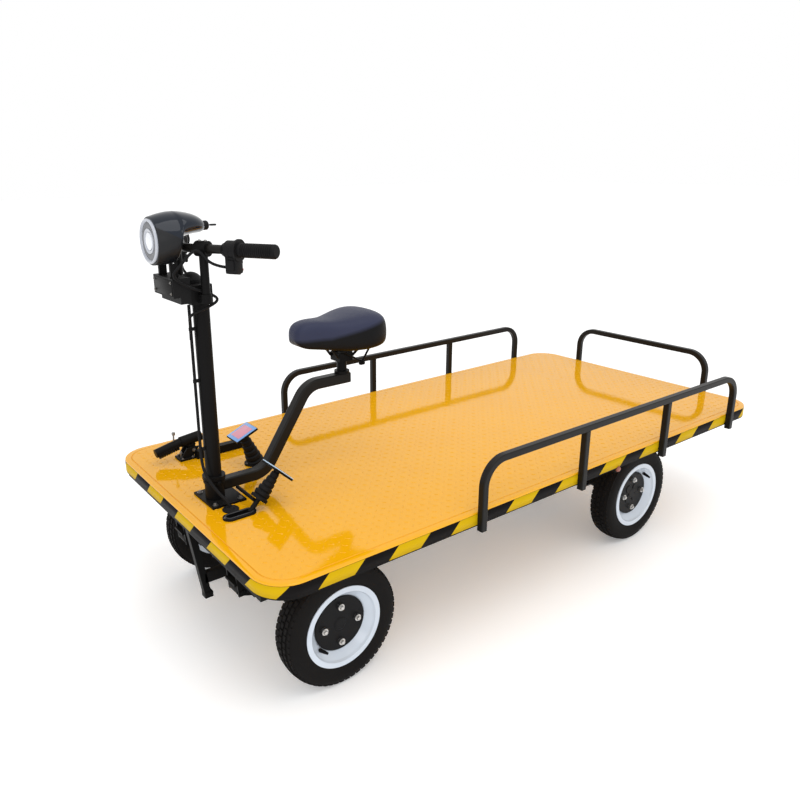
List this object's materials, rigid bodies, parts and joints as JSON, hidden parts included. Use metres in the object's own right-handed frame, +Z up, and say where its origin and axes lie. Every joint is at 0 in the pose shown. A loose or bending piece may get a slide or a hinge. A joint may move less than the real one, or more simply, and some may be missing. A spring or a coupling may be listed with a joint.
{
  "type": "electric flatbed cart",
  "caption": "Electric platform cart: a low plate deck with tube rails on small road wheels, steered by a handlebar column, with a saddle on a bent arm.",
  "frame": {"origin": "on the floor under the middle of the cart's box", "axes": "+X forward along the deck to the lamp, +Y to the cart's left, +Z up"},
  "size_m": [2.1246, 1.04, 1.2266],
  "materials": {
    "deck_yellow": "glossy yellow paint on patterned plate",
    "hazard_band": "yellow paint with black diagonal tape",
    "tyre_rubber": "matt black road tyre",
    "rim_white": "white gloss paint",
    "gloss_black": "glossy black moulding",
    "matte_black": "satin black",
    "lens": "clear lamp lens",
    "saddle_cover": "dark grained cover",
    "black_rubber": "matt black rubber",
    "bright_steel": "bright steel",
    "cast_alloy": "cast alloy",
    "spring_steel": "dark painted steel",
    "black_paint": "semi-gloss black paint"
  },
  "bodies": {
    "chassis": {"axle_strut": "black_paint", "battery_box": "black_paint", "brake_bracket": "black_paint", "brake_lever": "black_paint", "column_sleeve": "black_paint", "deck_cable": "black_rubber", "deck_grommet": "black_rubber", "deck_plate": "deck_yellow", "deck_skirt": "hazard_band", "drive_motor": "cast_alloy", "frame_channels": "black_paint", "frame_crossmembers": "black_paint", "front_axle": "black_paint", "front_springs": "spring_steel", "gear_case": "cast_alloy", "left_pedal": "black_paint", "left_pedal_boot": "black_rubber", "rear_axle": "black_paint", "rear_deck_plate": "deck_yellow", "rear_rail": "black_paint", "rear_springs": "spring_steel", "right_pedal": "black_paint", "right_pedal_boot": "black_rubber", "saddle": "saddle_cover", "saddle_frame": "black_paint", "seat_arm": "black_paint", "seat_post": "black_paint", "side_markers": "bright_steel", "side_rails": "black_paint", "spring_hangers": "black_paint"},
    "steering": {"bar_posts": "black_paint", "column_cable": "black_rubber", "control_box": "matte_black", "fork_crown": "black_paint", "grips": "black_rubber", "handlebar": "black_paint", "horn": "matte_black", "key_switch": "bright_steel", "lamp_brackets": "black_paint", "lamp_lens": "lens", "lamp_pod": "gloss_black", "steering_column": "black_paint", "switch_housings": "matte_black"},
    "knuckle_left": {"knuckle_left": "spring_steel"},
    "knuckle_right": {"knuckle_right": "spring_steel"},
    "tie_rod": {"tie_rod": "bright_steel"},
    "drag_link": {"drag_link": "bright_steel"},
    "wheel_front_left": {"tyre_front_left": "tyre_rubber", "rim_front_left": "rim_white", "hub_front_left": "black_paint"},
    "wheel_front_right": {"tyre_front_right": "tyre_rubber", "rim_front_right": "rim_white", "hub_front_right": "black_paint"},
    "wheel_rear_left": {"tyre_rear_left": "tyre_rubber", "rim_rear_left": "rim_white", "hub_rear_left": "black_paint"},
    "wheel_rear_right": {"tyre_rear_right": "tyre_rubber", "rim_rear_right": "rim_white", "hub_rear_right": "black_paint"}
  },
  "joints": [
    {"name": "steer", "type": "hinge", "parent": "chassis", "child": "steering", "pos_m": [0.9367, 0, 0.7], "axis": [0, 0, 1], "range_deg": [-35, 35]},
    {"name": "kingpin_left", "type": "hinge", "parent": "chassis", "child": "knuckle_left", "pos_m": [0.7787, 0.29, 0.175], "axis": [0, 0, 1], "range_deg": [-35, 35]},
    {"name": "kingpin_right", "type": "hinge", "parent": "chassis", "child": "knuckle_right", "pos_m": [0.7787, -0.29, 0.175], "axis": [0, 0, 1], "range_deg": [-35, 35]},
    {"name": "tie_rod_pin", "type": "hinge", "parent": "knuckle_left", "child": "tie_rod", "pos_m": [0.6787, 0.29, 0.1225], "axis": [0, 0, 1], "range_deg": [-35, 35]},
    {"name": "drag_link_pin", "type": "hinge", "parent": "steering", "child": "drag_link", "pos_m": [0.8367, 0, 0.249], "axis": [0, 0, 1], "range_deg": [-35, 35]},
    {"name": "spin_front_left", "type": "hinge", "parent": "knuckle_left", "child": "wheel_front_left", "pos_m": [0.7787, 0.36, 0.175], "axis": [0, 1, 0], "continuous": true},
    {"name": "spin_front_right", "type": "hinge", "parent": "knuckle_right", "child": "wheel_front_right", "pos_m": [0.7787, -0.36, 0.175], "axis": [0, 1, 0], "continuous": true},
    {"name": "spin_rear_left", "type": "hinge", "parent": "chassis", "child": "wheel_rear_left", "pos_m": [-0.5023, 0.36, 0.175], "axis": [0, 1, 0], "continuous": true},
    {"name": "spin_rear_right", "type": "hinge", "parent": "chassis", "child": "wheel_rear_right", "pos_m": [-0.5023, -0.36, 0.175], "axis": [0, 1, 0], "continuous": true}
  ],
  "couplings": [
    {"joint": "kingpin_left", "follows": "steer", "ratio": 1},
    {"joint": "kingpin_right", "follows": "steer", "ratio": 1},
    {"joint": "tie_rod_pin", "follows": "steer", "ratio": -1},
    {"joint": "drag_link_pin", "follows": "steer", "ratio": -1}
  ]
}
